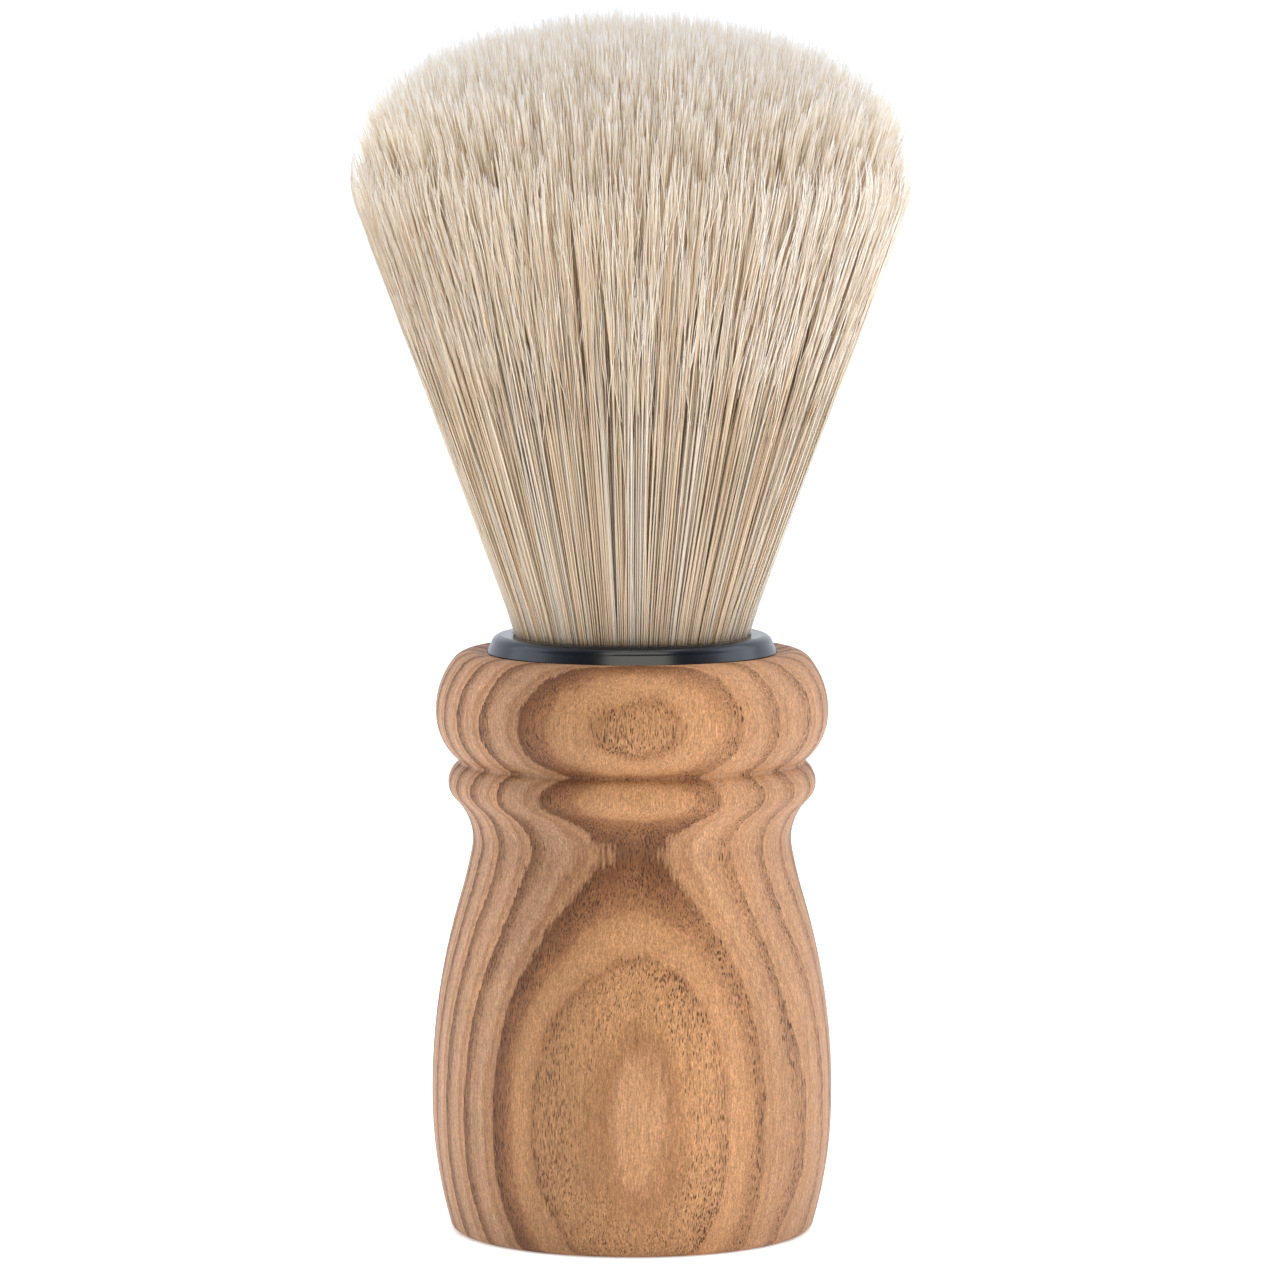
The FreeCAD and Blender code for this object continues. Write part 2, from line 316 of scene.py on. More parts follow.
def ash_wood():
    t = Tree("oiled_ash")
    p = t.coords()
    x, y, z = t.split(p)
    # depth below the front of the belly, with the rings' drift along the handle
    high = t.mul(z, 1.0 / 52.0)
    drift = t.curve(high, [(0.0, 0.05), (0.096, 0.115), (0.192, 0.225), (0.288, 0.24), (0.385, 0.30),
                           (0.49, 0.475), (0.548, 0.575), (0.663, 0.635), (0.77, 0.775), (0.885, 0.875),
                           (1.0, 0.875)])
    drift = t.sub(t.mul(drift, 2.0), 0.4)
    bell = t.math("EXPONENT", t.mul(t.mul(x, x), -1.0 / 36.0))
    aslant = t.mul(x, t.sub(0.015, t.mul(bell, 0.075)))
    flare = t.mul(t.span(x, 12.5, 16.5), t.span(z, 0.0, 28.0, 2.4, 1.5))
    deep = t.sub(t.add(t.add(t.add(y, BELLY_R), drift), aslant), flare)
    slow = t.around(t.noise(t.stretched(x, y, z, 0.085, 0.085, 0.03), detail=1.0), 0.5, 0.30)
    wavy = t.around(t.noise(t.stretched(x, y, z, 0.50, 0.50, 0.075), detail=2.0), 0.5, 0.32)
    feather = t.around(t.noise(t.stretched(x, y, z, 4.2, 4.2, 0.42), detail=2.0), 0.5, 0.30)
    deep = t.add(t.add(t.add(deep, slow), wavy), feather)

    # the outer two rings, by depth in mm
    def at(d):
        return (d + 0.5) / 5.5
    front, front_open = t.ramp_with_share(t.mul(t.add(deep, 0.5), 1 / 5.5), [
        (at(0.00), srgb(206, 158, 117), 0.03),
        (at(0.18), srgb(202, 153, 112), 0.06),
        (at(0.36), srgb(178, 129, 90), 0.16),
        (at(0.62), srgb(187, 138, 95), 0.40),
        (at(0.90), srgb(202, 152, 107), 0.66),
        (at(1.60), srgb(202, 152, 107), 0.78),
        (at(2.00), srgb(196, 146, 103), 0.92),
        (at(2.18), srgb(176, 127, 87), 1.00),
        (at(2.40), srgb(198, 148, 105), 0.20),
        (at(2.85), srgb(204, 154, 110), 0.10),
        (at(3.35), srgb(194, 144, 101), 0.22),
        (at(3.62), srgb(172, 122, 83), 0.62),
        (at(4.00), srgb(158, 109, 72), 0.92),
        (at(4.40), srgb(138, 91, 57), 1.00),
        (at(4.68), srgb(126, 81, 49), 1.00),
        (at(4.80), srgb(150, 104, 69), 0.45),
    ])
    # the rest repeat, each starting with a crowd of open vessels
    turns = t.mul(t.sub(deep, 4.7), 1.0 / 2.93)
    turns = t.add(turns, t.around(t.noise1(t.mul(deep, 0.19)), 0.5, 0.06))
    index = t.math("FLOOR", turns)
    part = t.sub(1.0, t.math("FRACT", turns))
    chance = t.white1(t.add(index, 3.5))
    back, back_open = t.ramp_with_share(part, [
        (0.00, srgb(136, 92, 60), 1.0),
        (0.10, srgb(152, 107, 73), 1.0),
        (0.20, srgb(168, 123, 88), 0.90),
        (0.30, srgb(182, 138, 102), 0.62),
        (0.36, srgb(193, 149, 114), 0.10),
        (0.52, srgb(196, 152, 117), 0.03),
        (0.64, srgb(205, 163, 129), 0.03),
        (0.71, srgb(199, 154, 117), 0.03),
        (0.79, srgb(178, 131, 94), 0.05),
        (0.86, srgb(190, 143, 105), 0.03),
        (0.96, srgb(201, 154, 115), 0.03),
        (1.00, srgb(196, 149, 110), 0.03),
    ])
    back = t.scale_colour(back, t.add(0.94, t.mul(chance, 0.12)))
    which = t.span(deep, 4.62, 4.98)
    base = t.mix(which, front, back)
    opened = t.add(t.mul(front_open, t.sub(1.0, which)), t.mul(back_open, which))
    crowd = t.noise(t.stretched(x, y, z, 0.35, 0.35, 0.09), detail=2.0)
    opened = t.mul(opened, t.add(0.25, t.mul(crowd, 1.45)))
    # towards the front right the colour is mixed towards a paler one, which fades the rings there
    pale = t.mul(t.span(x, 2.0, 9.0), t.span(y, 0.0, -6.0))
    base = t.mix(t.mul(pale, 0.58), base, srgb(208, 158, 116))
    # painted shade and light: the colour is scaled by side, darker on the left and lighter on the right and at
    # both edges, where the light falls unevenly
    painted_side_shade = t.curve(t.span(x, -18.0, 18.0, smooth=False), [
        (0.0, 0.62), (0.06, 0.62), (0.16, 0.52), (0.25, 0.30), (0.33, 0.27), (0.40, 0.42), (0.48, 0.60),
        (0.58, 0.64), (0.69, 0.84), (0.78, 0.70), (0.86, 0.52), (1.0, 0.56)])
    base = t.scale_colour(base, t.add(0.68, t.mul(painted_side_shade, 0.5)))
    # painted shade: the colour is darker towards the foot, near the floor
    base = t.scale_colour(base, t.span(z, 0.0, 7.0, 0.86, 1.0))

    # slow patches, fibres and flecks
    patch = t.noise(t.stretched(x, y, z, 0.20, 0.20, 0.06), detail=2.0)
    base = t.scale_colour(base, t.add(0.91, t.mul(patch, 0.18)))
    stripe = t.noise(t.stretched(x, y, z, 2.0, 2.0, 0.07), detail=3.0, roughness=0.6)
    base = t.scale_colour(base, t.add(0.71, t.mul(stripe, 0.58)))
    fibre = t.noise(t.stretched(x, y, z, 7.5, 7.5, 0.9), detail=3.0, roughness=0.6)
    base = t.scale_colour(base, t.add(0.30, t.mul(fibre, 1.40)))
    fleck = t.noise(t.stretched(x, y, z, 8.5, 8.5, 4.0), detail=2.0, roughness=0.7)
    base = t.scale_colour(base, t.add(0.28, t.mul(fleck, 1.44)))

    # vessels: short dashes, large and crowded where a ring starts
    bend = t.around(t.noise(t.stretched(x, y, z, 0.9, 0.9, 0.12), detail=1.0), 0.5, 0.4)
    xb, yb = t.add(x, bend), t.add(y, bend)
    big, _ = t.cells(t.stretched(xb, yb, z, 7.4, 7.4, 0.80))
    small, _ = t.cells(t.stretched(xb, yb, z, 9.0, 9.0, 1.5))
    vessel = t.span(t.sub(big, t.add(0.05, t.mul(opened, 0.34))), -0.13, 0.02, 1.0, 0.0)
    vessel = t.mul(vessel, t.span(opened, 0.10, 0.55))
    tiny = t.span(t.sub(small, t.add(0.20, t.mul(opened, 0.20))), -0.12, 0.06, 1.0, 0.0)
    base = t.mix(t.mul(tiny, t.add(0.26, t.mul(opened, 0.26))), base, srgb(126, 82, 47))
    colour = t.mix(t.mul(vessel, 0.90), base, srgb(78, 42, 19))
    t.set(Base_Color=t.mix(1.0, colour, (*WOOD_TINT, 1.0), "MULTIPLY"))
    t.put(t.bsdf.inputs["Roughness"], t.add(0.50, t.mul(fibre, 0.16)))
    t.set(Specular_IOR_Level=0.3)
    relief = t.sub(t.add(0.8, t.mul(fibre, 0.12)), t.add(t.mul(vessel, 0.7), t.mul(tiny, 0.2)))
    t.bump(relief, 0.00007, 0.7)
    return t.mat


def black_plastic():
    t = Tree("black_plastic")
    p = t.coords()
    cloud = t.noise(p, scale=0.9, detail=3.0)
    grain = t.noise(p, scale=14.0, detail=2.0)
    colour = t.mix(cloud, (0.0040, 0.0056, 0.0088, 1.0), (0.0068, 0.0088, 0.0130, 1.0))
    t.set(Base_Color=colour, Specular_IOR_Level=0.36)
    t.put(t.bsdf.inputs["Roughness"], t.add(0.17, t.mul(grain, 0.08)))
    t.bump(grain, 0.000003, 0.6)
    return t.mat


def cured_glue():
    t = Tree("cured_glue")
    p = t.coords()
    n = t.noise(p, scale=0.8, detail=3.0)
    t.set(Base_Color=t.mix(n, srgb(214, 200, 160), srgb(190, 172, 128)))
    t.put(t.bsdf.inputs["Roughness"], t.add(0.35, t.mul(n, 0.2)))
    t.bump(n, 0.00005, 0.5)
    return t.mat


def casting_resin():
    t = Tree("casting_resin")
    p = t.coords()
    n = t.noise(p, scale=0.5, detail=4.0)
    t.set(Base_Color=t.mix(n, srgb(206, 172, 106), srgb(170, 128, 66)))
    t.put(t.bsdf.inputs["Roughness"], t.add(0.12, t.mul(n, 0.15)))
    t.bump(n, 0.00005, 0.4)
    return t.mat


def waxed_twine():
    t = Tree("waxed_twine")
    p = t.coords()
    x, y, z = t.split(p)
    angle = t.math("ARCTAN2", y, x)
    strands = t.math("SINE", t.add(t.mul(angle, 90.0), t.mul(z, 9.0)))
    strands = t.add(0.5, t.mul(strands, 0.5))
    fuzz = t.noise(p, scale=6.0, detail=3.0)
    colour = t.mix(strands, srgb(176, 162, 132), srgb(222, 212, 188))
    t.set(Base_Color=t.scale_colour(colour, t.add(0.85, t.mul(fuzz, 0.3))))
    t.put(t.bsdf.inputs["Roughness"], t.add(0.6, t.mul(fuzz, 0.2)))
    t.bump(strands, 0.00008, 0.8)
    return t.mat


def dress(node, material):
    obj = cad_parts[node]
    if not obj.material_slots:
        obj.data.materials.append(material)
    for s in obj.material_slots:
        s.material = material
    for poly in obj.data.polygons:
        poly.use_smooth = True
    return obj


dress("handle", ash_wood())
dress("collar", black_plastic())
dress("bedding_glue", cured_glue())
dress("resin_plug", casting_resin())
dress("binding_twine", waxed_twine())


# ---------------------------------------------------------------------------
# Bristles
# ---------------------------------------------------------------------------
TIP_WHITE = srgb(251, 250, 249)
TIP_CREAM = srgb(245, 232, 212)
TIP_TAN = srgb(221, 196, 165)


def bristle_material():
    t = Tree("bleached_boar_bristle")
    p = t.coords()
    x, y, z = t.split(p)
    tone = t.attribute("tone")        # a value for each bristle
    warm = t.attribute("warm")        # its hue, from grey to tan
    tip = t.attribute("tipness")      # mm from the tip, as a share of 20 mm
    streak = t.noise(t.stretched(x, y, z, 4.0, 4.0, 0.30), detail=2.0)
    shade = t.add(tone, t.around(streak, 0.5, 0.12))
    calm = t.span(z, 56.0, 74.0, 0.35, 1.0)                  # evener where they are packed
    shade = t.add(0.56, t.mul(t.sub(shade, 0.58), calm))
    tan = t.ramp(shade, [
        (0.00, srgb(150, 120, 88)),
        (0.15, srgb(190, 158, 121)),
        (0.40, srgb(212, 183, 147)),
        (0.65, srgb(226, 200, 168)),
        (1.00, srgb(240, 223, 199)),
    ])
    grey = t.ramp(shade, [
        (0.00, srgb(140, 127, 111)),
        (0.20, srgb(180, 167, 149)),
        (0.50, srgb(213, 201, 183)),
        (1.00, srgb(240, 233, 223)),
    ])
    body = t.mix(warm, grey, tan)
    ends = t.ramp(tip, [
        (0.00, TIP_WHITE),
        (0.02, TIP_WHITE),
        (0.07, TIP_CREAM),
        (0.22, TIP_TAN),
        (1.00, TIP_TAN),
    ])
    ends = t.scale_colour(ends, t.add(0.91, t.mul(shade, 0.12)))
    t.set(Base_Color=t.mix(t.span(tip, 0.30, 0.75), ends, body), Specular_IOR_Level=0.4)
    # painted glow: the ends emit light, most at the tips, standing in for light scattered among the fine pale
    # hairs
    t.set(Emission_Color=t.ramp(tip, [
        (0.00, (1.00, 0.98, 0.95, 1.0)),
        (0.05, (0.85, 0.70, 0.50, 1.0)),
        (0.20, (0.58, 0.42, 0.24, 1.0)),
        (0.45, (0.34, 0.22, 0.10, 1.0)),
        (0.75, (0.00, 0.00, 0.00, 1.0)),
    ]), Emission_Strength=0.053)
    t.put(t.bsdf.inputs["Roughness"], t.add(0.44, t.mul(t.span(tip, 0.0, 0.4, 1.0, 0.0), 0.24)))
    return t.mat


def bundle_material():
    """The dense middle of the bundle, seen only between the bristles in front of it."""
    t = Tree("dense_bristle")
    p = t.coords()
    x, y, z = t.split(p)
    angle = t.math("ARCTAN2", y, x)
    fan = t.join(t.mul(angle, 52.0), t.mul(z, 0.10), 0.0)
    lines = t.noise(fan, detail=3.0, roughness=0.65)
    shade = t.span(lines, 0.30, 0.70, smooth=False)
    body = t.ramp(shade, [
        (0.0, srgb(180, 147, 106)),
        (0.4, srgb(210, 178, 136)),
        (0.7, srgb(226, 198, 160)),
        (1.0, srgb(238, 218, 188)),
    ])
    t.set(Base_Color=t.mix(t.span(z, 84.0, 97.0), body, srgb(240, 219, 190)), Specular_IOR_Level=0.3)
    t.put(t.bsdf.inputs["Roughness"], t.add(0.55, t.mul(lines, 0.15)))
    t.bump(lines, 0.00012, 0.8)
    return t.mat


rng = np.random.default_rng(20417)
roots_lo, roots_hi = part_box("bristle_roots")
flex_lo, flex_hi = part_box("bristle_flex_zone")
head_lo, head_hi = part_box("bristle_head")
collar_lo, collar_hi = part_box("collar")

Z_BOUND = roots_lo.z / MM + 0.15          # lowest root end
Z_MOUTH = collar_hi.z / MM                # where the bristles leave the collar
R_MOUTH = roots_hi.x / MM - 0.12
R_WIDE = head_hi.x / MM                   # widest line of the fan
Z_TOP = head_hi.z / MM - 0.75             # top of the dome, under its longest hairs
Z_CUT = 72.0                              # between the two lengths the bristles are cut into
LEAN = 0.3725                             # spread of the outermost bristles, per mm
INNER = 0.885                             # radius of the dense middle, as a share

# the fan's outer profile above its straight side (radius, height), in mm
rim = [(24.445, 90.68), (24.76, 92.4), (24.842, 94.306), (24.50, 96.4), (23.62, 98.5),
       (22.10, 100.8), (20.10, 102.6), (18.30, 103.8), (16.48, 104.7),
       (13.40, 105.7), (10.00, 106.6), (6.50, 107.25), (3.00, 107.65), (0.0, Z_TOP)]
rim_r = np.array([q[0] for q in rim][::-1])
rim_z = np.array([q[1] for q in rim][::-1])


def dome_height(r):
    """Height of the tip surface over a radius; beyond the widest line it falls off steeply."""
    order_r = np.r_[rim_r[: np.argmax(rim_r) + 1]]
    order_z = np.r_[rim_z[: np.argmax(rim_r) + 1]]
    return np.interp(r, order_r, order_z, right=94.0)


# root positions: a jittered hexagonal packing
COUNT = 11000
pitch = math.sqrt(math.pi * R_MOUTH**2 / COUNT * 2 / math.sqrt(3))
rows = int(R_MOUTH / (pitch * math.sqrt(3) / 2)) + 2
pts = []
for j in range(-rows, rows + 1):
    for i in range(-rows, rows + 1):
        pts.append((pitch * (i + 0.5 * (j % 2)), pitch * math.sqrt(3) / 2 * j))
pts = np.array(pts)
pts += rng.normal(0, pitch * 0.18, pts.shape)
rr = np.hypot(pts[:, 0], pts[:, 1])
pts = pts[rr < R_MOUTH - 0.02]
N = len(pts)
rho = np.hypot(pts[:, 0], pts[:, 1]) / R_MOUTH
az = np.arctan2(pts[:, 1], pts[:, 0])
unit = np.c_[np.cos(az), np.sin(az)]
side = np.c_[-np.sin(az), np.cos(az)]

# where each bristle would end on the dome, found along its straight line
fan = LEAN * (R_WIDE / 24.842) * (0.985 + 0.02 * rng.random(N))
lo_z = np.full(N, 80.0)
hi_z = np.full(N, 112.0)
for _ in range(30):
    mid = (lo_z + hi_z) / 2
    r_mid = rho * (R_MOUTH + fan * (mid - Z_MOUTH))
    inside = mid < dome_height(r_mid)
    lo_z = np.where(inside, mid, lo_z)
    hi_z = np.where(inside, hi_z, mid)
z_end = lo_z

# length scatter: most end near the surface, some short, a few proud
scatter = rng.normal(0, 0.40, N) - np.abs(rng.normal(0, 0.55, N)) * (rng.random(N) < 0.5)
scatter -= (rng.random(N) < np.interp(rho, [0.72, 0.86, 0.93], [0.05, 0.24, 0.46])) * rng.uniform(0.8, 5.0, N) * np.interp(rho, [0.72, 0.86, 0.95], [1.0, 1.5, 2.1])
z_end = z_end + np.minimum(scatter, 0.40)

# sideways wander, as a share of the free length
wander_a = rng.normal(0, 0.42, N)          # round the axis
wander_r = rng.normal(0, 0.36, N) - 0.10   # towards or away from it
outer = np.clip((rho - 0.90) / 0.10, 0, 1)
wander_r = np.where(wander_r > 0, wander_r * (1 - 0.85 * outer), wander_r)
stray = rng.random(N) < 0.06
wander_a = np.where(stray, rng.normal(0, 2.2, N), wander_a)
bow = rng.normal(0, 0.24, N)
bow_a = rng.uniform(0, 2 * math.pi, N)
wave = rng.uniform(0.01, 0.06, N)
wave_n = rng.uniform(5.0, 11.0, N)
wave_p = rng.uniform(0, 2 * math.pi, N)

# tips gather in loose tufts
tuft_n = 900
ta = rng.uniform(0, 2 * math.pi, tuft_n)
tr = np.sqrt(rng.random(tuft_n))
tuft = np.c_[tr * np.cos(ta), tr * np.sin(ta)] * R_MOUTH
near = np.empty(N, int)
for a in range(0, N, 800):
    d2 = ((pts[a:a + 800, None, :] - tuft[None]) ** 2).sum(-1)
    near[a:a + 800] = d2.argmin(1)
to_tuft = (tuft[near] - pts)
pull = np.clip(rng.normal(0.09, 0.10, N), 0.0, 0.4)
z_end = z_end + rng.normal(0, 0.14, tuft_n).clip(-0.4, 0.3)[near]
# towards the edge the ends are uneven, in tufts and singly
uneven = np.clip((rho - 0.84) / 0.10, 0, 1)
z_end = z_end - uneven * (np.abs(rng.normal(0, 0.7, tuft_n))[near] + np.abs(rng.normal(0, 0.7, N)))
spread_at_tip = 1.0 + fan * (z_end - Z_MOUTH) / R_MOUTH

tone = np.clip(rng.normal(0.58, 0.115, N), 0.02, 1.0)
dark = rng.random(N) < 0.03
tone = np.where(dark, rng.uniform(0.0, 0.22, N), tone)
tuft_tone = rng.normal(0, 0.04, tuft_n)
tuft_warm = rng.normal(0, 0.22, tuft_n)
tone = np.clip(tone + tuft_tone[near], 0, 1)
warm = np.clip(rng.normal(0.68, 0.25, N) + tuft_warm[near], 0, 1)
thick = rng.normal(0.088, 0.013, N).clip(0.06, 0.125)
z_part = Z_CUT + rng.uniform(0.0, 1.0, N)     # where each one is cut between the pieces


def centre_at(sel, z):
    """Centre line of bristles sel at heights z (arrays that broadcast), in mm."""
    zz = np.broadcast_to(z, (len(sel),)).astype(float)
    free = np.clip((zz - Z_MOUTH) / (z_end[sel] - Z_MOUTH), 0, 1.2)
    up = np.clip(zz - Z_MOUTH, 0, None)
    r = rho[sel] * (R_MOUTH + fan[sel] * up)
    # inside the collar the bundle narrows to where it is bound
    below = np.clip((Z_MOUTH - 4.0 - zz) / 2.0, 0, 1)
    r = r * (1 - below * (1 - 9.50 / R_MOUTH))
    c = unit[sel] * r[:, None]
    grow = free**1.4
    c = c + side[sel] * (wander_a[sel] * grow)[:, None] + unit[sel] * (wander_r[sel] * grow)[:, None]
    arch = np.sin(np.pi * np.clip(free, 0, 1))
    keep = np.where(rho[sel] > 0.93, 0.35, 1.0)
    bend = np.c_[np.cos(bow_a[sel]), np.sin(bow_a[sel])] * (bow[sel] * keep * arch)[:, None]
    c = c + bend * (free > 0)[:, None]
    sway = wave[sel] * np.sin(free * wave_n[sel] + wave_p[sel]) * np.minimum(free * 4, 1)
    c = c + side[sel] * sway[:, None]
    c = c + to_tuft[sel] * (spread_at_tip[sel] * pull[sel] * np.clip((free - 0.5) / 0.5, 0, 1.1) ** 1.8)[:, None]
    return np.c_[c, zz]


def tubes(name, rings, radii, attrs, sides=3, turn=None):
    """rings: (strand, ring, xyz) in mm; radii: (strand, ring). A closed tube per strand."""
    n, k, _ = rings.shape
    turn = np.zeros(n) if turn is None else turn
    ang = turn[:, None] + np.arange(sides)[None] * (2 * math.pi / sides)
    offs = np.stack([np.cos(ang), np.sin(ang), np.zeros_like(ang)], -1)          # n, sides, 3
    verts = rings[:, :, None, :] + offs[:, None] * radii[:, :, None, None]       # n, k, sides, 3
    ends = verts[:, [0, k - 1]].reshape(-1, 3) * MM                              # the caps' own corners
    verts = np.concatenate([verts.reshape(-1, 3) * MM, ends])
    base = (np.arange(n) * k * sides)[:, None, None]
    ri = np.arange(k - 1)[None, :, None] * sides
    si = np.arange(sides)[None, None, :]
    sj = (si + 1) % sides
    a = base + ri + si
    b = base + ri + sj
    c = base + ri + sides + sj
    d = base + ri + sides + si
    quads = np.stack([a, b, c, d], -1).reshape(-1, 4)
    start = (n * k * sides + np.arange(n) * 2 * sides)[:, None]
    bottom = start + np.arange(sides)[::-1][None]
    top = start + sides + np.arange(sides)[None]
    caps = np.concatenate([bottom, top])
    loops = np.concatenate([quads.ravel(), caps.ravel()]).astype(np.int32)
    sizes = np.concatenate([np.full(len(quads), 4), np.full(len(caps), sides)])
    starts = np.concatenate([[0], np.cumsum(sizes)[:-1]]).astype(np.int32)
    mesh = bpy.data.meshes.new(name)
    mesh.vertices.add(len(verts))
    mesh.vertices.foreach_set("co", verts.astype(np.float32).ravel())
    mesh.loops.add(len(loops))
    mesh.loops.foreach_set("vertex_index", loops)
    mesh.polygons.add(len(sizes))
    mesh.polygons.foreach_set("loop_start", starts)
    mesh.polygons.foreach_set("use_smooth", np.ones(len(sizes), bool))
    mesh.update(calc_edges=True)
    for key, values in attrs.items():                                            # (strand, ring)
        att = mesh.attributes.new(key, "FLOAT", "POINT")
        full = np.repeat(values.reshape(n, k, 1), sides, axis=2)
        full = np.concatenate([full.ravel(), full[:, [0, k - 1]].ravel()])
        att.data.foreach_set("value", full.astype(np.float32))
    # one cell of the bake map for each strand
    grid = int(math.ceil(math.sqrt(n)))
    cu = (np.arange(n) % grid)[:, None, None, None]
    cv = (np.arange(n) // grid)[:, None, None, None]
    rr_ = np.arange(k - 1)[None, :, None, None]
    ss_ = np.arange(sides)[None, None, :, None]
    du = np.array([0, 1, 1, 0])[None, None, None, :]
    dv = np.array([0, 0, 1, 1])[None, None, None, :]
    u = (cu + 0.12 + 0.76 * (ss_ + du) / sides) / grid
    v = (cv + 0.12 + 0.76 * (rr_ + dv) / (k - 1)) / grid
    quv = np.stack(np.broadcast_arrays(u, v), -1).reshape(-1, 2)
    kk = np.arange(sides)
    cap_uv = np.stack([np.cos(kk * 2 * math.pi / sides), np.sin(kk * 2 * math.pi / sides)], -1) * 0.03
    cell = np.stack([(np.arange(n) % grid), (np.arange(n) // grid)], -1)[:, None, :]
    cb = (cell + np.array([0.5, 0.06]) + cap_uv[None]) / grid
    ct = (cell + np.array([0.5, 0.94]) + cap_uv[None]) / grid
    uv = np.concatenate([quv, cb.reshape(-1, 2), ct.reshape(-1, 2)])
    layer = mesh.uv_layers.new(name="OFBake")
    layer.data.foreach_set("uv", uv.astype(np.float32).ravel())
    mesh.materials.append(hair_mat)
    obj = bpy.data.objects.new(name, mesh)
    scene.collection.objects.link(obj)
    return obj


hair_mat = bristle_material()
everyone = np.arange(N)
spin = rng.uniform(0, 2 * math.pi, N)
shown = everyone[rho > 0.80]               # long enough outside the dense middle to be seen
middle = everyone[rho <= 0.80]


def from_tip(sel, z):
    """Length left to the tip, as a share of 20 mm."""
    return np.clip((z_end[sel] - z) / 20.0, 0, 1)


def width_at(sel, z):
    left = z_end[sel] - z
    return thick[sel] * np.interp(left, [0.0, 2.5, 8.0, 16.0, 36.0], [0.16, 0.34, 0.72, 0.92, 1.0])


def shaft(name, sel, levels):
    rings = np.stack([centre_at(sel, lv) for lv in levels], 1)
    rad = np.stack([width_at(sel, lv) for lv in levels], 1)
    ones = np.ones((len(sel), len(levels)))
    attrs = {
        "tone": tone[sel][:, None] * ones,
        "warm": warm[sel][:, None] * ones,
        "tipness": np.stack([from_tip(sel, lv) for lv in levels], 1),
    }
    return tubes(name, rings, rad, attrs, 3, spin[sel])


def bend_low(obj):
    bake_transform(obj)


def bend_high(obj):
    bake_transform(obj)


# the bound roots inside the cup
roots = shaft("bristle_roots_bound", everyone[rho > 0.72], [Z_BOUND, Z_MOUTH - 6.0, Z_MOUTH - 4.0, Z_MOUTH - 0.4])
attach(roots, "brush_handle")

# the length from the collar to the cut
low = shaft("bristles_low", shown,
            [Z_MOUTH - 0.4, Z_MOUTH + 2.5, Z_MOUTH + 6.0, Z_MOUTH + 10.5, Z_MOUTH + 14.8, z_part[shown]])
bend_low(low)

# shafts above the cut, which taper towards the tips
def rise(sel, start, steps):
    top = z_end[sel] - 2.2
    return [start + (top - start) * f for f in steps]


high = shaft("bristles_high", shown, rise(shown, z_part[shown], (0.0, 0.20, 0.42, 0.64, 0.84, 1.0)))
bend_high(high)


# the dense middle: a turned body with the fan's shape, well under the tips
def middle_top(r):
    return dome_height(np.minimum(r / INNER, 24.8)) - 4.1 - 0.6 * np.clip(r / 22.0, 0, 1) ** 2


def turned(name, profile, material, around=144):
    """A closed body of revolution from (radius, height) pairs in mm, first and last on the axis."""
    rings = [profile[1]] + profile[1:-1] + [profile[-2]]      # the ends have rings of their own
    verts, faces = [(0.0, 0.0, profile[0][1] * MM)], []
    for r, z in rings:
        for i in range(around):
            a = 2 * math.pi * i / around
            verts.append((r * math.cos(a) * MM, r * math.sin(a) * MM, z * MM))
    verts.append((0.0, 0.0, profile[-1][1] * MM))
    last = len(verts) - 1
    for i in range(around):
        j = (i + 1) % around
        faces.append((0, 1 + j, 1 + i))
        for k in range(1, len(rings) - 2):
            a, b = 1 + k * around + i, 1 + k * around + j
            faces.append((a, b, b + around, a + around))
        top_ring = 1 + (len(rings) - 1) * around
        faces.append((last, top_ring + i, top_ring + j))
    mesh = bpy.data.meshes.new(name)
    mesh.from_pydata(verts, [], faces)
    for poly in mesh.polygons:
        poly.use_smooth = True
    mesh.materials.append(material)
    obj = bpy.data.objects.new(name, mesh)
    scene.collection.objects.link(obj)
    return obj


bundle_mat = bundle_material()


def inner_radius(z):
    return INNER * (R_MOUTH + LEAN * max(z - Z_MOUTH, 0.0)) - 0.05


heights = [float(h) for h in np.linspace(Z_MOUTH - 0.4, Z_CUT + 0.5, 9)]
roots_body = turned("bristle_roots_middle", [(0.0, Z_BOUND), (7.6, Z_BOUND), (7.9, Z_MOUTH - 6.0),
                    (inner_radius(Z_MOUTH), Z_MOUTH - 4.0), (inner_radius(Z_MOUTH), Z_MOUTH - 0.4),
                    (0.0, Z_MOUTH - 0.4)], bundle_mat)
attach(roots_body, "brush_handle")
low_body = turned("bristles_low_middle", [(0.0, heights[0])] + [(inner_radius(h), h) for h in heights]
                  + [(0.0, heights[-1])], bundle_mat)
bend_low(low_body)
z_side = 89.5
climb = [float(h) for h in np.linspace(Z_CUT + 0.5, z_side, 7)]
r_side = inner_radius(z_side)
over = [(float(r_side * math.cos(q)), q) for q in np.linspace(0.12, math.pi / 2 - 0.02, 14)]
crown = []
for r, q in over:
    full = float(middle_top(np.array([r]))[0])
    crown.append((r, z_side + (full - z_side) * min(1.0, math.sin(q) ** 0.8)))
high_body = turned("bristles_high_middle", [(0.0, climb[0])] + [(inner_radius(h), h) for h in climb]
                   + crown + [(0.0, crown[-1][1] + 0.01)], bundle_mat)
bend_high(high_body)

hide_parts("bristle_roots")
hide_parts("bristle_flex_zone")
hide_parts("bristle_head")

# bristles of the middle, from inside the dense body up
m_end = z_end[middle]
m_r = rho[middle] * (R_MOUTH + fan[middle] * (m_end - 9.0 - Z_MOUTH))
m_start = np.minimum(middle_top(m_r) - 0.8, m_end - 5.0)
m_start = np.where(rho[middle] > 0.7, m_start - 3.0, m_start)
bend_high(shaft("bristles_middle_tops", middle, rise(middle, m_start, (0.0, 0.5, 1.0))))

# split tips: each bristle ends in several fine hairs
HAIRS = 5


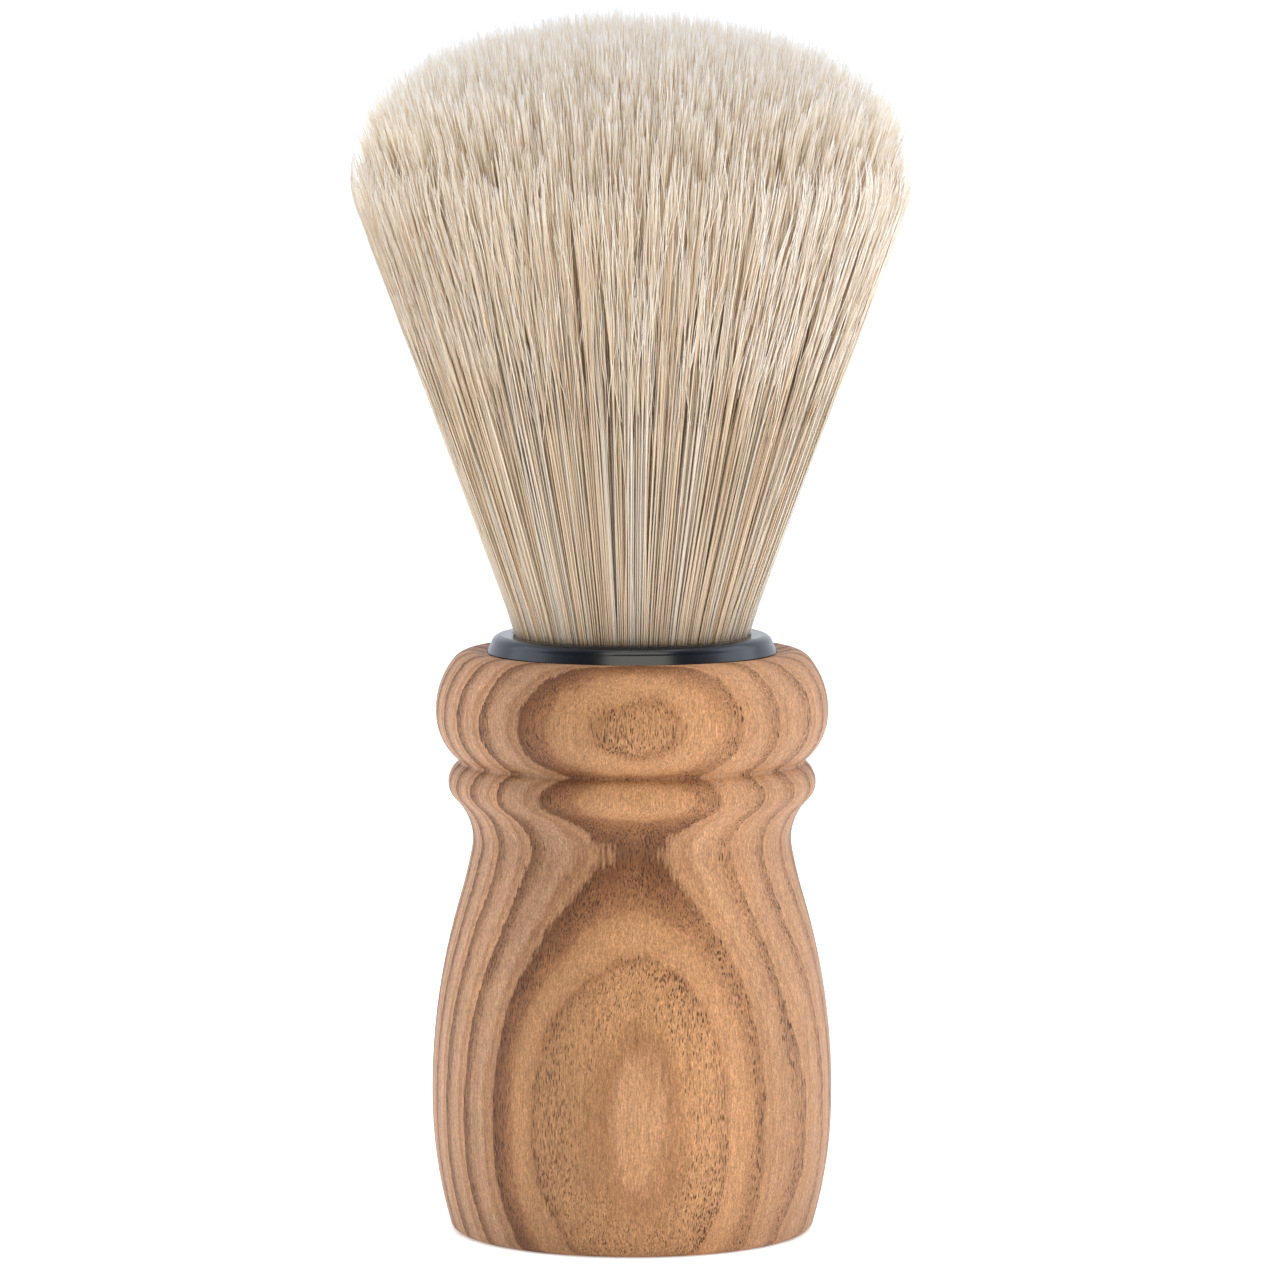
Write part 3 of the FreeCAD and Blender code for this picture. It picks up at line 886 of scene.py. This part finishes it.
def split_tips(name, sel):
    n = len(sel)
    who = np.repeat(sel, HAIRS)
    m = len(who)
    short = np.abs(rng.normal(0, 1.0, m)) * np.interp(rho[who], [0.5, 0.8, 0.95], [0.8, 2.6, 3.6])
    z1 = z_end[who] + np.minimum(rng.normal(-0.1, 0.6, m), 0.55) - np.where(rng.random(m) < 0.62, short, 0.0)
    z0 = z1 - rng.uniform(6.0, 11.0, m)
    a = rng.uniform(0, 2 * math.pi, m)
    out = np.abs(rng.normal(0, 0.32, m)) + 0.05
    fly = rng.random(m) < 0.03
    out = np.where(fly, out * 2.6, out)
    # along the rim the hairs keep to the cone
    away = np.c_[np.cos(a), np.sin(a)] * out[:, None]
    radial = (away * unit[who]).sum(1)
    cap = np.where(rho[who] > 0.9, 0.12, 1.0)
    away -= unit[who] * (np.maximum(radial, 0) * (1 - cap))[:, None]
    rings, attrs_t = [], []
    # towards the dome's edge the ends are shifted towards the creamier colour found further from the tip
    rim_cream = np.interp(rho[who], [0.74, 0.92], [0.0, 0.024]) + rng.uniform(0.0, 0.02, m)
    fs = (0.0, 0.40, 0.74, 1.0)
    for f in fs:
        z = z0 + (z1 - z0) * f
        c = centre_at(who, z)
        c[:, :2] += away * f
        rings.append(c)
        attrs_t.append(np.clip((z1 - z) / 20.0 + rim_cream, 0, 1))
    rings = np.stack(rings, 1)
    fine = rng.normal(0.048, 0.008, m).clip(0.03, 0.07)
    rad = fine[:, None] * np.array([0.9, 1.0, 0.85, 0.35])[None]
    ones = np.ones((m, len(fs)))
    own = np.clip(tone[who] + rng.normal(0, 0.08, m), 0, 1)
    attrs = {
        "tone": own[:, None] * ones,
        "warm": warm[who][:, None] * ones,
        "tipness": np.stack(attrs_t, 1),
    }
    bend_high(tubes(name, rings, rad, attrs, 3, rng.uniform(0, 6.28, m)))


# the outer bristles, which show their sides too, carry half as many hairs again
mixed = rng.permutation(np.concatenate([everyone, everyone[rho > 0.78][::2]]))
for number, sel in enumerate(np.array_split(mixed, 7), start=1):
    split_tips("bristle_tips_%d" % number, sel)

# fine hairs lying among the outer ones, from the dome's edge down
LOOSE = 2000
edge = everyone[rho > 0.93]
loose = edge[rng.integers(0, len(edge), LOOSE)]
shares = (0.0, 0.3, 0.6, 0.85, 1.0)
turn_by = rng.uniform(-0.02, 0.02, LOOSE)
c_, s_ = np.cos(turn_by), np.sin(turn_by)
out_dir = np.c_[unit[loose, 0] * c_ - unit[loose, 1] * s_, unit[loose, 0] * s_ + unit[loose, 1] * c_]
side_dir = np.c_[-out_dir[:, 1], out_dir[:, 0]]
rim_z_at = 96.0 - 2.5 * rng.random(LOOSE)
top_z = rim_z_at + 1.0 - 17.0 * rng.random(LOOSE) ** 1.3
long_ = rng.uniform(4.5, 10.0, LOOSE)
tilt = rng.normal(0, 0.085, LOOSE)
curl = rng.normal(0, 0.022, LOOSE)
lift = rng.uniform(0.00, 0.16, LOOSE)
rings = []
for f in shares:
    z = top_z - (1.0 - f) * long_
    r = R_MOUTH + LEAN * (z - Z_MOUTH)
    r = np.minimum(r, np.interp(z, [90.68, 92.4, 94.306, 96.4, 98.5], [24.445, 24.70, 24.75, 24.40, 23.5])) - 0.10 + lift * f
    sidestep = (tilt * (f - 0.5) + curl * (4 * (f - 0.5) ** 2 - 1)) * long_
    c = out_dir * r[:, None] + side_dir * sidestep[:, None]
    c = c * (r / np.hypot(c[:, 0], c[:, 1]))[:, None]        # stays on the cone while going round it
    rings.append(np.c_[c, z])
rings = np.stack(rings, 1)
rad = rng.normal(0.038, 0.007, LOOSE).clip(0.025, 0.055)[:, None] * np.array([0.7, 1.0, 0.9, 0.7, 0.3])[None]
ones = np.ones((LOOSE, len(shares)))
from_end = np.stack([(1.0 - f) * long_ / 20.0 for f in shares], 1) * 0.35 + 0.02
bend_high(tubes("bristle_strays", rings, rad, {
    "tone": rng.uniform(0.36, 0.80, LOOSE)[:, None] * ones,
    "warm": rng.uniform(0.0, 0.5, LOOSE)[:, None] * ones,
    "tipness": from_end,
}, 3))

# ---------------------------------------------------------------------------
# Floor
# ---------------------------------------------------------------------------
floor_mesh = bpy.data.meshes.new("floor")
reach = 60.0
floor_mesh.from_pydata([(-reach, -reach, 0), (reach, -reach, 0), (reach, reach, 0), (-reach, reach, 0)], [], [(0, 1, 2, 3)])
floor = bpy.data.objects.new("floor", floor_mesh)
scene.collection.objects.link(floor)
floor.location.z = CAD_LO.z - 0.00002
ft = Tree("pale_floor")
fn = ft.noise(ft.coords(), scale=0.004, detail=2.0)
ft.set(Base_Color=ft.mix(fn, (0.93, 0.93, 0.93, 1), (0.95, 0.95, 0.95, 1)), Roughness=0.9, Specular_IOR_Level=0.1,
       Emission_Color=(1.0, 1.0, 1.0, 1.0), Emission_Strength=0.36)
floor_mesh.materials.append(ft.mat)
